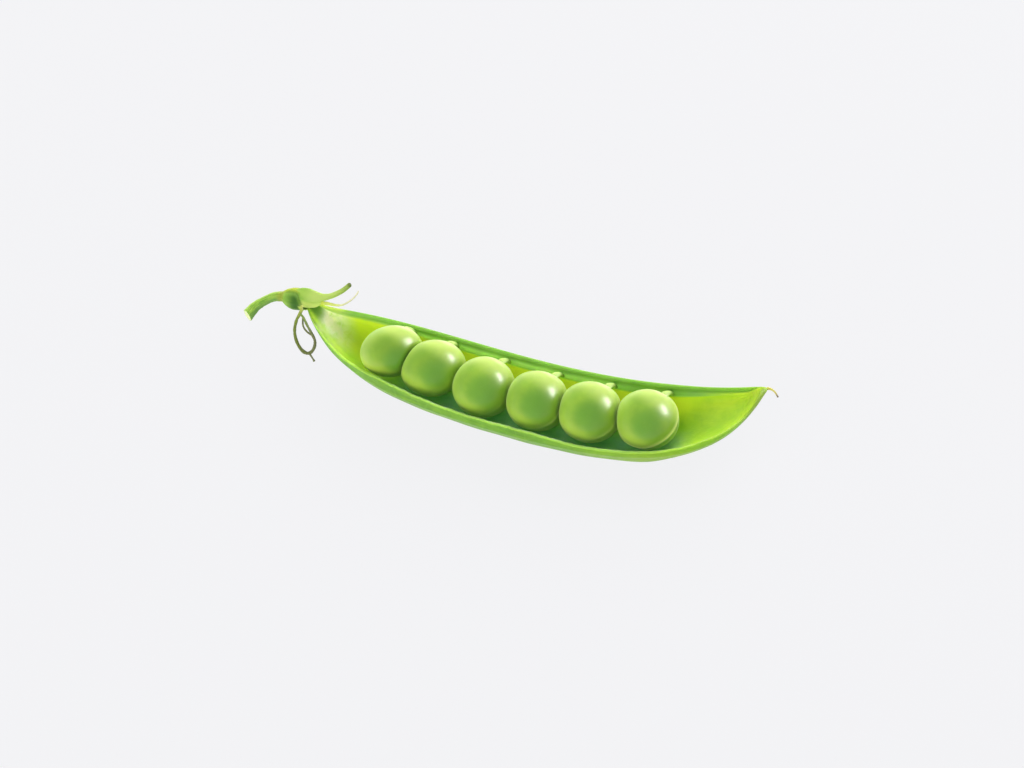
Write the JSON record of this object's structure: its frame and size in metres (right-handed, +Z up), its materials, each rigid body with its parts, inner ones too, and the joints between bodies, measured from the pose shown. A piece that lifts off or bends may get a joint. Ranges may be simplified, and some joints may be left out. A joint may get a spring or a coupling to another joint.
{
  "type": "opened pea pod",
  "caption": "Garden pea pod lying on its closed half, opened along one side to show round peas, with calyx, cut stalk and dried flower threads.",
  "frame": {"origin": "middle of the flat spot on the pod's underside, which it rests on", "axes": "+X from the stalk to the tip, +Z up out of the opening, +Y towards the seam that the peas hang on"},
  "size_m": [0.097, 0.0214, 0.0123],
  "materials": {
    "pod": "satin green plant skin, pale and glossy inside",
    "pea": "smooth waxy skin of a fresh pea",
    "calyx": "soft matt leaf",
    "stalk": "satin fibrous stem, pale at its cut",
    "dry_thread": "withered olive brown thread",
    "pale_thread": "dry straw-coloured thread"
  },
  "bodies": {
    "root": {"pod_shell": "pod", "pea_1": "pea", "pea_2": "pea", "pea_3": "pea", "pea_4": "pea", "pea_5": "pea", "pea_6": "pea", "calyx": "calyx", "stalk": "stalk", "stamens": "dry_thread", "filament": "pale_thread", "style": "pale_thread"}
  },
  "joints": []
}
